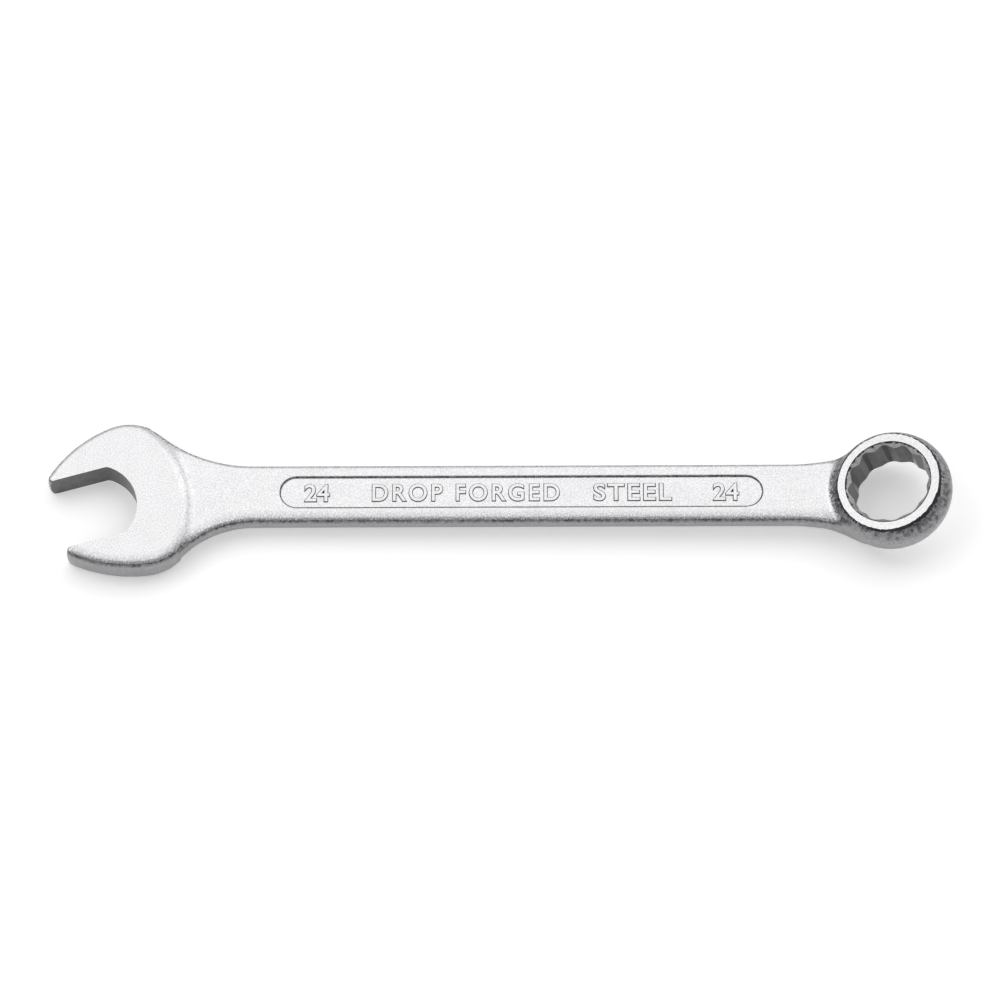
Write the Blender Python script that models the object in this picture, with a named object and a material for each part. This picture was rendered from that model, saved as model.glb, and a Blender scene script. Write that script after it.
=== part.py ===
"""Combination wrench for a 24 mm hexagon, forged in one piece.

Millimetres are used for every dimension below and turned into metres as the meshes are made.
The wrench lies along X: open jaw at -X, ring at +X, shank between them, size numerals facing +Z.
While it is modelled, X = 0 is about half way along, Y = 0 is the shank's middle line and Z = 0 its middle
plane. The last step moves the bottom centre of its box to the origin.
"""

import math

import bmesh
import bpy
from mathutils import Matrix, Vector

MM = 0.001

# What it fits
ACROSS_FLATS = 24.0
CLEARANCE = 0.2  # the jaw and the broach are this much wider than the hexagon
GAP = ACROSS_FLATS + CLEARANCE

# Shank
SHANK_WIDTH = 19.5
SHANK_THICK = 6.5
SHANK_EDGE = 0.7

# Open head. Its axis runs through JAW_CENTRE; lengths along it count away from the mouth
JAW_ANGLE = math.radians(15.8)
JAW_CENTRE = (-132.9, -5.0)
THROAT_RADIUS = 14.3
THROAT_CORNER = 3.0
HEAD_THICK = 10.8
HEAD_RIM = 1.6
HEAD_SHIFT = 0.25  # the head is forged this much to one side of the jaw's axis
SHOULDER = (14.2, 8.9)
SHOULDER_RADIUS = 16.5
FLANK_REACH = {1: 23.5, -1: 26.0}  # from a shoulder's centre to its flank's, upper and lower side
FLANK_LEAN = math.radians(98.8)  # direction from the flank's centre to the shoulder's
TIP_RADIUS = 0.7
UPPER_NECK_RADIUS = 48.0
LOWER_NECK_RADIUS = 33.0
STEP_CENTRE = (-6.8, 0.8)  # the head's face ends in an arc about this place
STEP_RADIUS = 36.1
STEP_RUN = 3.2  # length of the slope from the head's face down to the shank's

# Ring. Its axis leans back towards the handle
RING_TILT = math.radians(15.0)
RING_CENTRE = (128.5, 0.1, 3.4)
RING_THICK = 15.3
RING_FACE_RADIUS = 17.1
RING_WIDEST_RADIUS = 19.5
RING_EDGE = 0.3
RING_NECK_RADIUS = 30.0
COLLAR_TOP, COLLAR_BOTTOM = 6.3, -5.2  # heights where the neck meets the ring's wall
COLLAR_TOP_RUN, COLLAR_BOTTOM_RUN = 3.6, 5.4
BROACH_SIDES = 12
BROACH_TURN = math.radians(5.4)
MOUTH_RADIUS = 14.6  # widest part of the 45 degree lead-in
CORNER_RELIEF = 0.4  # how far the corners of the broach are cut back

# Sunk panel on both faces of the shank, with a raised size numeral near each end
PANEL_LEFT, PANEL_RIGHT = -72.0, 86.0
PANEL_WIDTH = 10.8
PANEL_OFFSET = 0.3
PANEL_DEPTH = 0.6
NUMERAL_HEIGHT, NUMERAL_WIDTH, NUMERAL_STROKE = 6.6, 3.2, 0.8
NUMERAL_PITCH = 5.0
NUMERAL_RAISE = 0.35
NUMERALS_AT = (-60.0, 74.5)
BOWL_START, BOWL_END = math.radians(170.0), math.radians(-35.0)  # where the round of the 2 runs
FOUR_CROSSING = 0.45  # how far out its stem and its bar are, as a share of the 4's half width and height

# How the shapes are drawn and joined
ARC_STEP, FINE_STEP = 2.2, 0.8  # longest of the straight lines that stand for an arc, or for a small one
TURN_STEP = 1.7  # the same for a turned shape
BARREL_ROWS = 8  # straight bands that stand for the ring's bulging wall
OVER = 2.0  # how far a cutter runs past what it cuts
LAP = 3.0  # how far an outline runs on into what is cut away or joined over
RING_LAP = 1.2  # how far the neck reaches into the ring
SINK = 0.3  # how far a joined shape reaches down into its neighbour
PROUD = 0.1  # how far the head and the collar stand over the shank's outline, so that no sides coincide
STAGGER = 0.02  # between the tops of a numeral's strokes, so that no two end in the same plane
WELD = 0.001  # points closer than this are one


def clear_scene():
    for obj in list(bpy.data.objects):
        bpy.data.objects.remove(obj, do_unlink=True)


# Plane curves


def angle_to(start, end):
    return math.atan2(end[1] - start[1], end[0] - start[0])


def arc(centre, radius, start, end, turn, step=ARC_STEP):
    """Points from angle start to angle end, both included; turn is 1 for anticlockwise, -1 for clockwise."""
    sweep = turn * ((turn * (end - start)) % (2 * math.pi))
    count = max(2, math.ceil(abs(sweep) * radius / step))
    angles = [start + sweep * i / count for i in range(count + 1)]
    return [(centre[0] + radius * math.cos(a), centre[1] + radius * math.sin(a)) for a in angles]


def in_jaw_axes(points):
    """Points given along and across the jaw's axis, from JAW_CENTRE, in the wrench's own axes."""
    c, s = math.cos(JAW_ANGLE), math.sin(JAW_ANGLE)
    return [(JAW_CENTRE[0] + x * c - y * s, JAW_CENTRE[1] + x * s + y * c) for x, y in points]


# Solids


def object_from(name, shape):
    mesh = bpy.data.meshes.new(name)
    shape.to_mesh(mesh)
    shape.free()
    made = bpy.data.objects.new(name, mesh)
    bpy.context.scene.collection.objects.link(made)
    return made


def prism(name, outline, low, high, rim=0.0, steps=3):
    """A plate with this outline, from low to high, its top and bottom edges rounded by rim."""
    shape = bmesh.new()
    base = shape.faces.new([shape.verts.new((x * MM, y * MM, low * MM)) for x, y in outline])
    raised = bmesh.ops.extrude_face_region(shape, geom=[base])["geom"]
    top = [v for v in raised if isinstance(v, bmesh.types.BMVert)]
    bmesh.ops.translate(shape, verts=top, vec=(0, 0, (high - low) * MM))
    bmesh.ops.recalc_face_normals(shape, faces=shape.faces)
    if rim:
        level = [e for e in shape.edges if abs(e.verts[0].co.z - e.verts[1].co.z) < 0.1 * MM]
        bmesh.ops.bevel(
            shape, geom=level, offset=rim * MM, segments=steps, profile=0.5, affect="EDGES"
        )
    return object_from(name, shape)


def turned(name, profile, place=None):
    """A solid of revolution about Z, from (radius, height) points that start and end on the axis."""
    steps = math.ceil(2 * math.pi * max(r for r, z in profile) / TURN_STEP)
    shape = bmesh.new()
    line = [shape.verts.new((r * MM, 0, z * MM)) for r, z in profile]
    edges = [shape.edges.new(pair) for pair in zip(line, line[1:])]
    bmesh.ops.spin(
        shape, geom=line + edges, cent=(0, 0, 0), axis=(0, 0, 1), angle=2 * math.pi, steps=steps,
        use_merge=True,
    )
    bmesh.ops.remove_doubles(shape, verts=shape.verts, dist=WELD * MM)
    bmesh.ops.recalc_face_normals(shape, faces=shape.faces)
    if place is not None:
        bmesh.ops.transform(shape, matrix=place, verts=shape.verts)
    return object_from(name, shape)


def weld(body):
    """Makes one of the doubled points that a cut leaves where several faces meet."""
    shape = bmesh.new()
    shape.from_mesh(body.data)
    bmesh.ops.remove_doubles(shape, verts=shape.verts, dist=WELD * MM)
    bmesh.ops.dissolve_degenerate(shape, edges=shape.edges, dist=WELD * MM)
    shape.to_mesh(body.data)
    shape.free()


def combine(body, tool, operation):
    """Joins the tool to the body, cuts it out or keeps what they share, and removes the tool."""
    modifier = body.modifiers.new(operation, "BOOLEAN")
    modifier.operation = operation
    modifier.solver = "EXACT"
    modifier.object = tool
    graph = bpy.context.evaluated_depsgraph_get()
    made = bpy.data.meshes.new_from_object(body.evaluated_get(graph))
    body.modifiers.clear()
    body.data = made
    bpy.data.objects.remove(tool, do_unlink=True)
    weld(body)


# Outlines


def flank(side):
    """Centre and radius of the long curve from the shoulder to the jaw's tip, in the half's axes."""
    reach = FLANK_REACH[side]
    centre = (SHOULDER[0] - reach * math.cos(FLANK_LEAN), SHOULDER[1] - reach * math.sin(FLANK_LEAN))
    return centre, reach + SHOULDER_RADIUS + PROUD


def from_half(points, side):
    """Points of one half of the head, drawn for the upper side, in the wrench's axes."""
    return in_jaw_axes([(x, side * y + HEAD_SHIFT) for x, y in points])


def half_head(side):
    """The head's outer line on one side, from inside the mouth over the flank to the shoulder."""
    centre, radius = flank(side)
    inside = GAP / 2 - LAP
    start = math.pi - math.asin((inside - centre[1]) / radius)
    points = arc(centre, radius, start, FLANK_LEAN, -1)
    points += arc(SHOULDER, SHOULDER_RADIUS + PROUD, FLANK_LEAN, neck_contact(side), -1)[1:]
    return from_half(points, side)


def tip_outline(side):
    """What is cut away from a jaw's sharp tip to leave it round in plan."""
    centre, radius = flank(side)
    flat = GAP / 2 - side * HEAD_SHIFT
    y = flat + TIP_RADIUS
    x = centre[0] - math.sqrt((radius - TIP_RADIUS) ** 2 - (y - centre[1]) ** 2)
    out = angle_to(centre, (x, y))
    reach = TIP_RADIUS + OVER
    side_point = (x + reach * math.cos(out), y + reach * math.sin(out))
    outline = [(x, flat - reach)]
    outline += arc((x, y), TIP_RADIUS, -math.pi / 2, out, -1, FINE_STEP / 2)
    far = x - 3 * reach
    outline += [side_point, (far, side_point[1]), (far, flat - reach)]
    return from_half(outline, side)


def shoulder_centre(side):
    return in_jaw_axes([(SHOULDER[0], side * SHOULDER[1] + HEAD_SHIFT)])[0]


def head_neck_centre(side):
    radius = UPPER_NECK_RADIUS if side > 0 else LOWER_NECK_RADIUS
    shoulder = shoulder_centre(side)
    y = side * (SHANK_WIDTH / 2 + radius)
    x = shoulder[0] + math.sqrt((SHOULDER_RADIUS + radius) ** 2 - (y - shoulder[1]) ** 2)
    return (x, y), radius


def neck_contact(side):
    """Angle on the shoulder, in the mirrored jaw axes, where the neck's hollow takes over."""
    centre, _ = head_neck_centre(side)
    return side * (angle_to(shoulder_centre(side), centre) - JAW_ANGLE)


def head_neck(side, proud=0.0):
    """The hollow from the shank's side to the head's shoulder."""
    centre, radius = head_neck_centre(side)
    end = angle_to(centre, shoulder_centre(side))
    return arc(centre, radius - proud, -side * math.pi / 2, end, -side)


def ring_neck(side, proud=0.0):
    """The hollow from the shank's side to the ring, ending inside the ring's wall."""
    y = side * (SHANK_WIDTH / 2 + RING_NECK_RADIUS)
    reach = RING_WIDEST_RADIUS + RING_NECK_RADIUS - RING_LAP
    centre = (RING_CENTRE[0] - math.sqrt(reach**2 - y**2), y)
    end = angle_to(centre, RING_CENTRE)
    return arc(centre, RING_NECK_RADIUS - proud, -side * math.pi / 2, end, side)


def head_outline():
    upper = half_head(1) + head_neck(1, PROUD)[-2::-1]
    lower = half_head(-1) + head_neck(-1, PROUD)[-2::-1]
    return lower + upper[::-1]


def shank_outline():
    inside = in_jaw_axes([(THROAT_RADIUS + LAP, 0.0)])
    lower = head_neck(-1)[::-1] + ring_neck(-1)
    upper = ring_neck(1)[::-1] + head_neck(1)
    return inside + lower + upper


def mouth_outline():
    """The jaw's opening: two flats, a hollow throat, and a small round where they meet."""
    half, corner = GAP / 2, THROAT_CORNER
    far = -2 * THROAT_RADIUS
    x = math.sqrt((THROAT_RADIUS - corner) ** 2 - (half - corner) ** 2)
    lower, upper = (x, corner - half), (x, half - corner)
    meet = angle_to((0, 0), upper)
    points = [(far, -half)]
    points += arc(lower, corner, -math.pi / 2, -meet, 1, FINE_STEP)
    points += arc((0, 0), THROAT_RADIUS, -meet, meet, 1, FINE_STEP)[1:-1]
    points += arc(upper, corner, meet, math.pi / 2, 1, FINE_STEP)
    return in_jaw_axes(points + [(far, half)])


def panel_outline():
    """Stadium outline of the sunk panel."""
    r, y = PANEL_WIDTH / 2, PANEL_OFFSET
    quarter = math.pi / 2
    right = arc((PANEL_RIGHT - r, y), r, -quarter, quarter, 1, FINE_STEP)
    left = arc((PANEL_LEFT + r, y), r, quarter, -quarter, 1, FINE_STEP)
    return right + left


def star_outline():
    """The broach: two hexagons a twelfth of a turn apart, their corners cut back."""
    corner = GAP / 2 / math.cos(math.pi / 6)
    ridge = GAP / 2 / math.cos(math.pi / BROACH_SIDES)
    half = CORNER_RELIEF * math.tan(math.pi / 3)
    outer, open_angle = corner - CORNER_RELIEF, math.atan2(half, corner - CORNER_RELIEF)
    points = []
    for i in range(BROACH_SIDES):
        a = BROACH_TURN + 2 * i * math.pi / BROACH_SIDES
        r = outer / math.cos(open_angle)
        for turn, radius in ((-open_angle, r), (open_angle, r), (math.pi / BROACH_SIDES, ridge)):
            points.append((radius * math.cos(a + turn), radius * math.sin(a + turn)))
    return points


# Parts of the forging


def ring_place():
    return Matrix.Translation(Vector(RING_CENTRE) * MM) @ Matrix.Rotation(-RING_TILT, 4, "Y")


def slope_foot(start, run, height):
    """Radius of a slope SINK below the shank's face, when it falls from a height to that face in a run."""
    face = SHANK_THICK / 2
    return start + run * (height - face + SINK) / (height - face)


def head():
    """The thick head, its face ending in a slope towards the shank."""
    plate = prism("head", head_outline(), -HEAD_THICK / 2, HEAD_THICK / 2, HEAD_RIM)
    face, low = HEAD_THICK / 2, SHANK_THICK / 2 - SINK
    foot = slope_foot(STEP_RADIUS, STEP_RUN, face)
    top = face + OVER
    start = STEP_RADIUS - STEP_RUN * OVER / (face - SHANK_THICK / 2)
    profile = [(0, -top), (start, -top), (foot, -low), (foot, low), (start, top), (0, top)]
    x, y = in_jaw_axes([STEP_CENTRE])[0]
    limit = turned("limit", profile, Matrix.Translation((x * MM, y * MM, 0)))
    combine(plate, limit, "INTERSECT")
    return plate


def collar():
    """The part of the neck that thickens towards the ring."""
    outline = ring_neck(-1, PROUD) + ring_neck(1, PROUD)[::-1]
    block = prism("collar", outline, COLLAR_BOTTOM - OVER, COLLAR_TOP + OVER)
    inner = RING_WIDEST_RADIUS - RING_LAP
    low = SHANK_THICK / 2 - SINK
    top_foot = slope_foot(inner, COLLAR_TOP_RUN, COLLAR_TOP)
    bottom_foot = slope_foot(inner, COLLAR_BOTTOM_RUN, -COLLAR_BOTTOM)
    profile = [
        (0, COLLAR_BOTTOM), (inner, COLLAR_BOTTOM), (bottom_foot, -low),
        (top_foot, low), (inner, COLLAR_TOP), (0, COLLAR_TOP),
    ]
    limit = turned("limit", profile, Matrix.Translation((RING_CENTRE[0] * MM, 0, 0)))
    combine(block, limit, "INTERSECT")
    return block


def ring():
    """The barrel-shaped ring with its axis leaning back."""
    half = RING_THICK / 2
    profile = [(0, -half), (RING_FACE_RADIUS - RING_EDGE, -half)]
    for i in range(BARREL_ROWS + 1):
        level = (half - RING_EDGE) * (2 * i / BARREL_ROWS - 1)
        bulge = 1 - (level / half) ** 2
        profile.append((RING_FACE_RADIUS + (RING_WIDEST_RADIUS - RING_FACE_RADIUS) * bulge, level))
    profile += [(RING_FACE_RADIUS - RING_EDGE, half), (0, half)]
    return turned("ring", profile, ring_place())


def cut_mouth(body):
    combine(body, prism("mouth", mouth_outline(), -HEAD_THICK, HEAD_THICK), "DIFFERENCE")
    for side in (1, -1):
        combine(body, prism("tip", tip_outline(side), -HEAD_THICK, HEAD_THICK), "DIFFERENCE")


def cut_broach(body):
    star = prism("star", star_outline(), -RING_THICK, RING_THICK)
    star.data.transform(ring_place())
    combine(body, star, "DIFFERENCE")
    narrow = GAP / 2 - SINK
    depth = MOUTH_RADIUS - narrow
    for side in (1, -1):
        face = side * RING_THICK / 2
        profile = [
            (0, face + side * OVER), (MOUTH_RADIUS + OVER, face + side * OVER),
            (narrow, face - side * depth), (0, face - side * depth),
        ]
        combine(body, turned("lead_in", profile, ring_place()), "DIFFERENCE")


def cut_panels(body):
    floor, top = SHANK_THICK / 2 - PANEL_DEPTH, SHANK_THICK / 2 + OVER
    combine(body, prism("panel", panel_outline(), floor, top), "DIFFERENCE")
    combine(body, prism("panel", panel_outline(), -top, -floor), "DIFFERENCE")


def stroke(points):
    """Outline of a line of NUMERAL_STROKE's width along the points, its joints mitred."""
    half = NUMERAL_STROKE / 2
    left, right = [], []
    for i, point in enumerate(points):
        before, after = points[max(i - 1, 0)], points[min(i + 1, len(points) - 1)]
        into = angle_to(before, point) if i else angle_to(point, after)
        out = angle_to(point, after) if i < len(points) - 1 else into
        bend = (out - into + math.pi) % (2 * math.pi) - math.pi
        across = into + bend / 2 + math.pi / 2
        reach = half / math.cos(bend / 2)
        dx, dy = reach * math.cos(across), reach * math.sin(across)
        left.append((point[0] + dx, point[1] + dy))
        right.append((point[0] - dx, point[1] - dy))
    return right + left[::-1]


def numeral_strokes():
    """The strokes of a 2 and a 4, side by side about the origin."""
    top, side = (NUMERAL_HEIGHT - NUMERAL_STROKE) / 2, NUMERAL_WIDTH / 2
    bowl = top - side
    two = arc((0, bowl), side, BOWL_START, BOWL_END, -1, FINE_STEP)
    two += [(-side, -top), (side + NUMERAL_STROKE / 2, -top)]
    stem, bar = side * FOUR_CROSSING, -top * FOUR_CROSSING
    four = [(stem, top), (-side, bar), (side + NUMERAL_STROKE / 2, bar)]
    post = [(stem, top + NUMERAL_STROKE / 2), (stem, -top - NUMERAL_STROKE / 2)]
    shift = NUMERAL_PITCH / 2
    return [
        [(x + move, y) for x, y in points]
        for points, move in ((two, -shift), (four, shift), (post, shift))
    ]


def add_numerals(body):
    floor = SHANK_THICK / 2 - PANEL_DEPTH
    for at in NUMERALS_AT:
        for i, points in enumerate(numeral_strokes()):
            outline = [(x + at, y + PANEL_OFFSET) for x, y in stroke(points)]
            top, foot = floor + NUMERAL_RAISE + STAGGER * i, floor - SINK - STAGGER * i
            combine(body, prism("stroke", outline, foot, top), "UNION")


def stand_on_origin(body):
    corners = [v.co for v in body.data.vertices]
    low = Vector([min(c[i] for c in corners) for i in range(3)])
    high = Vector([max(c[i] for c in corners) for i in range(3)])
    shift = Vector((-(low.x + high.x) / 2, -(low.y + high.y) / 2, -low.z))
    body.data.transform(Matrix.Translation(shift))
    print("shift in mm:", [round(s / MM, 3) for s in shift])


def chrome():
    material = bpy.data.materials.new("satin_chrome")
    material.use_nodes = True
    shader = material.node_tree.nodes["Principled BSDF"]
    shader.inputs["Base Color"].default_value = (0.78, 0.78, 0.79, 1.0)
    shader.inputs["Metallic"].default_value = 1.0
    shader.inputs["Roughness"].default_value = 0.34
    return material


def main():
    clear_scene()
    wrench = prism(
        "wrench", shank_outline(), -SHANK_THICK / 2, SHANK_THICK / 2, SHANK_EDGE, 2
    )
    combine(wrench, head(), "UNION")
    combine(wrench, collar(), "UNION")
    combine(wrench, ring(), "UNION")
    cut_mouth(wrench)
    cut_broach(wrench)
    cut_panels(wrench)
    add_numerals(wrench)
    stand_on_origin(wrench)
    wrench.data.materials.clear()
    wrench.data.materials.append(chrome())
    wrench.data.shade_smooth()
    wrench.data.set_sharp_from_angle(angle=math.radians(30))


main()
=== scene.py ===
# %% [markdown]
# # A combination wrench for a 24 mm nut
# The real tool is one piece of chrome vanadium steel. A hot bar is pressed between two dies, which gives
# the head, the shank and the ring their soft outlines and sinks a long panel into the shank. The flash is
# trimmed off, the jaw and the twelve-point socket are broached, the ring's faces are ground flat, and the
# whole tool is tumbled and plated with satin chrome.
#
# This lesson goes the same way. First the blank is modelled and fused, with soft fillets. Then the
# machined features are cut out of it with crisp edges. Last come the raised characters and the plating.

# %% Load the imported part
import math
import bpy
from mathutils import Matrix, Vector
from mathutils.noise import noise as speckle


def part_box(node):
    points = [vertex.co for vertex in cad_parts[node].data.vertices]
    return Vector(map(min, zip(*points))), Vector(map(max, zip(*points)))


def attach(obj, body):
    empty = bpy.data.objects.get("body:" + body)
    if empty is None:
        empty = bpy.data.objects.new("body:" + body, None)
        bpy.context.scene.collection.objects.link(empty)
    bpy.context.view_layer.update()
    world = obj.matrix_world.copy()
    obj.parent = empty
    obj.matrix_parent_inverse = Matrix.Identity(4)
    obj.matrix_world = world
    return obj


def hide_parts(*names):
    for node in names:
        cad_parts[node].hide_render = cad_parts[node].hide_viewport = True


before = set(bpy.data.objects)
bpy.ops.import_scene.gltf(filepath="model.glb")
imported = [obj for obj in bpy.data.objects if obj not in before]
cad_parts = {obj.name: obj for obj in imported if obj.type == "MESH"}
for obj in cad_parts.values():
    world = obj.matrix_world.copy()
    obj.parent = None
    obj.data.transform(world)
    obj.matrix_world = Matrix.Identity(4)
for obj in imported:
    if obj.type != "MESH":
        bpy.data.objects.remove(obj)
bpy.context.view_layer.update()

# %% [markdown]
# ## The bench axes
# A maker measures a wrench from its own middle. On the bench, X runs along the shank from the open jaw
# to the ring, Y = 0 is the shank's middle line and Z = 0 is half way through its thickness. All lengths
# below are in millimetres on these axes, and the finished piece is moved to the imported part's axes once.

# %% Bench axes and the sizes of the forging
MM = 0.001
TO_PART = Vector((-0.033, 1.0, 8.333)) * MM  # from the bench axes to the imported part's

GAP = 24.2  # between the jaw's flats, and across the socket's: a 24 mm hexagon with some play
THROAT = 14.3  # radius of the hollow behind the flats
SHANK_WIDTH, SHANK_THICK, SHANK_EDGE = 19.5, 6.5, 0.8
HALF_SHANK = SHANK_THICK / 2
JAW_ANGLE = math.radians(15.8)
JAW_CENTRE = (-132.9, -5.0)
HEAD_THICK = 10.8
RING_TILT = math.radians(15.0)
RING_CENTRE = (128.5, 0.1, 3.4)
RING_HALF = 7.65  # half of the ring's thickness
low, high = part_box("wrench")
print("length over all:", round((high.x - low.x) / MM, 1), "mm")

# %% [markdown]
# ## Helpers for working as by hand
# An operator acts on whatever is selected, so each helper first lets go of everything and then picks up
# one object, or the faces and edges that a test names.

# %% Selecting
def pick(obj):
    """Makes obj the only selected object, and the active one."""
    if bpy.context.object and bpy.context.object.mode != "OBJECT":
        bpy.ops.object.mode_set(mode="OBJECT")
    bpy.ops.object.select_all(action="DESELECT")
    obj.select_set(True)
    bpy.context.view_layer.objects.active = obj


def edit(obj, kind="FACE", test=None):
    """Opens obj for editing with only those faces or edges selected that pass the test."""
    pick(obj)
    bpy.ops.object.mode_set(mode="EDIT")
    bpy.ops.mesh.select_mode(type=kind)
    bpy.ops.mesh.select_all(action="DESELECT")
    bpy.ops.object.mode_set(mode="OBJECT")
    mesh = obj.data
    for item in (mesh.polygons if kind == "FACE" else mesh.edges):
        item.select = bool(test and test(mesh, item))
    bpy.ops.object.mode_set(mode="EDIT")


def done():
    bpy.ops.object.mode_set(mode="OBJECT")


def faces_out(obj):
    edit(obj)
    bpy.ops.mesh.select_all(action="SELECT")
    bpy.ops.mesh.normals_make_consistent(inside=False)
    done()


def change(obj, kind, **settings):
    """Adds a modifier with these settings and applies it at once."""
    pick(obj)
    modifier = obj.modifiers.new(kind.title(), kind)
    for name, value in settings.items():
        setattr(modifier, name, value)
    bpy.ops.object.modifier_apply(modifier=modifier.name)


def combine(body, tool, operation):
    """Joins the tool to the body, cuts it away, or keeps what they share. The tool is used up."""
    change(body, "BOOLEAN", operation=operation, solver="MANIFOLD", object=tool)
    bpy.data.objects.remove(tool)
    return body


# %% [markdown]
# ## Plane curves
# Every outline of this wrench is a chain of arcs that touch each other smoothly, as a die sinker would
# scribe it. `arc` gives the points of one of them. The head's arcs are drawn on the jaw's own axis, which
# is turned against the shank, and `in_jaw_axes` turns them into place.

# %% Arcs
ARC_STEP = 0.9  # longest straight line in an arc


def angle_to(start, end):
    return math.atan2(end[1] - start[1], end[0] - start[0])


def arc(centre, radius, start, end, turn, step=ARC_STEP):
    """Points from angle start to angle end; turn is 1 for anticlockwise, -1 for clockwise."""
    sweep = turn * ((turn * (end - start)) % (2 * math.pi))
    count = max(2, math.ceil(abs(sweep) * radius / step))
    angles = [start + sweep * i / count for i in range(count + 1)]
    return [(centre[0] + radius * math.cos(a), centre[1] + radius * math.sin(a)) for a in angles]


def in_jaw_axes(points):
    along, across = math.cos(JAW_ANGLE), math.sin(JAW_ANGLE)
    left, front = JAW_CENTRE
    return [(left + x * along - y * across, front + x * across + y * along) for x, y in points]


# %% [markdown]
# ## A plate from an outline
# A die half is a flat outline sunk to a depth. Here the outline becomes a ring of points, is filled with
# one face, and is extruded to its thickness; the bevel operator then rounds the rims at top and bottom.

# %% Plates
RIM_SEGMENTS = 5


def plate(name, outline, bottom, top, rim=0.0):
    """A flat solid between two heights, with its rims rounded to this radius."""
    mesh = bpy.data.meshes.new(name)
    count = len(outline)
    loop = [(i, (i + 1) % count) for i in range(count)]
    mesh.from_pydata([(x * MM, y * MM, bottom * MM) for x, y in outline], loop, [])
    made = bpy.data.objects.new(name, mesh)
    bpy.context.scene.collection.objects.link(made)
    pick(made)
    bpy.ops.object.mode_set(mode="EDIT")
    bpy.ops.mesh.select_all(action="SELECT")
    bpy.ops.mesh.edge_face_add()
    bpy.ops.mesh.extrude_region_move(TRANSFORM_OT_translate={"value": (0, 0, (top - bottom) * MM)})
    done()
    faces_out(made)
    if rim:
        def level(mesh, edge):
            a, b = (mesh.vertices[i].co for i in edge.vertices)
            return abs(a.z - b.z) < 0.1 * MM
        edit(made, "EDGE", level)
        bpy.ops.mesh.bevel(offset=rim * MM, segments=RIM_SEGMENTS, affect="EDGES")
        done()
    return made


# %% [markdown]
# ## The head's outline
# From the jaw's tip a long flat curve runs to the shoulder, the shoulder turns back towards the shank,
# and a hollow neck leads into the shank's side. The two sides differ: the lower neck is tighter, because
# the jaw is turned that way, and the lower flank is a little flatter. Each centre is worked out so that
# the arcs touch.

# %% Curves of the head
HEAD_SHIFT = 0.25  # the head is forged a little to one side of the jaw's axis
SHOULDER, SHOULDER_RADIUS = (14.2, 8.9), 16.5  # along and out from the jaw's axis
FLANK_REACH = {1: 26.0, -1: 30.0}  # from a shoulder's centre to its flank's
FLANK_LEAN = math.radians(98.8)
NECK_RADIUS = {1: 48.0, -1: 33.0}
INSIDE = 3.0  # how far an outline runs on inside what is cut or joined later


def flank(side):
    """Centre and radius of the long curve from the shoulder to the jaw's tip."""
    reach = FLANK_REACH[side]
    centre = (SHOULDER[0] - reach * math.cos(FLANK_LEAN), SHOULDER[1] - reach * math.sin(FLANK_LEAN))
    return centre, reach + SHOULDER_RADIUS


def shoulder_centre(side):
    return in_jaw_axes([(SHOULDER[0], side * SHOULDER[1] + HEAD_SHIFT)])[0]


def head_neck_centre(side):
    radius, shoulder = NECK_RADIUS[side], shoulder_centre(side)
    y = side * (SHANK_WIDTH / 2 + radius)
    x = shoulder[0] + math.sqrt((SHOULDER_RADIUS + radius) ** 2 - (y - shoulder[1]) ** 2)
    return x, y


def head_neck(side):
    centre = head_neck_centre(side)
    end = angle_to(centre, shoulder_centre(side))
    return arc(centre, NECK_RADIUS[side], -side * math.pi / 2, end, -side)


def half_head(side):
    """One side of the head, from inside the mouth over the flank and the shoulder to the neck."""
    centre, radius = flank(side)
    start = math.pi - math.asin((GAP / 2 - INSIDE - centre[1]) / radius)
    contact = side * (angle_to(shoulder_centre(side), head_neck_centre(side)) - JAW_ANGLE)
    points = arc(centre, radius, start, FLANK_LEAN, -1)
    points += arc(SHOULDER, SHOULDER_RADIUS, FLANK_LEAN, contact, -1)[1:]
    return in_jaw_axes([(x, side * y + HEAD_SHIFT) for x, y in points])


def head_outline():
    upper = half_head(1) + head_neck(1)[-2::-1]
    lower = half_head(-1) + head_neck(-1)[-2::-1]
    return lower + upper[::-1]


print("head outline:", len(head_outline()), "points")

# %% [markdown]
# ## The jaw's tips
# In plan, each tip is round where its flat meets the flank. A small cutter with a hollow corner leaves
# that round behind.

# %% Tips
TIP_RADIUS = 1.2
BEYOND = 2.0  # how far a cutter runs past what it cuts


def tip_outline(side):
    centre, radius = flank(side)
    flat = GAP / 2 - side * HEAD_SHIFT
    y = flat + TIP_RADIUS
    x = centre[0] - math.sqrt((radius - TIP_RADIUS) ** 2 - (y - centre[1]) ** 2)
    out = angle_to(centre, (x, y))
    reach = TIP_RADIUS + BEYOND
    corner = (x + reach * math.cos(out), y + reach * math.sin(out))
    far = x - 3 * reach
    points = [(x, flat - reach)] + arc((x, y), TIP_RADIUS, -math.pi / 2, out, -1, 0.2)
    points += [corner, (far, corner[1]), (far, flat - reach)]
    return in_jaw_axes([(px, side * py + HEAD_SHIFT) for px, py in points])


print("tip cutter:", len(tip_outline(1)), "points")

# %% [markdown]
# ## The head
# The head is a thick plate with round rims. Towards the shank its face falls away along an arc. That
# slope could be sculpted, but a cutter with the slope's own form is exact: a disc whose top and bottom
# faces are extruded and drawn in, like two lids of a tin. What the plate and this disc share is the head.

# %% Head
HEAD_RIM = 1.2
STEP_CENTRE = (-6.8, 0.8)  # the arc's centre on the jaw's axis
STEP_RADIUS, STEP_RUN = 35.7, 4.3  # where the slope starts, and how far it runs down to the shank
DISC_SIDES = 160
LID_SINK = 0.3  # a lid starts this far below the shank's face


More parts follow.
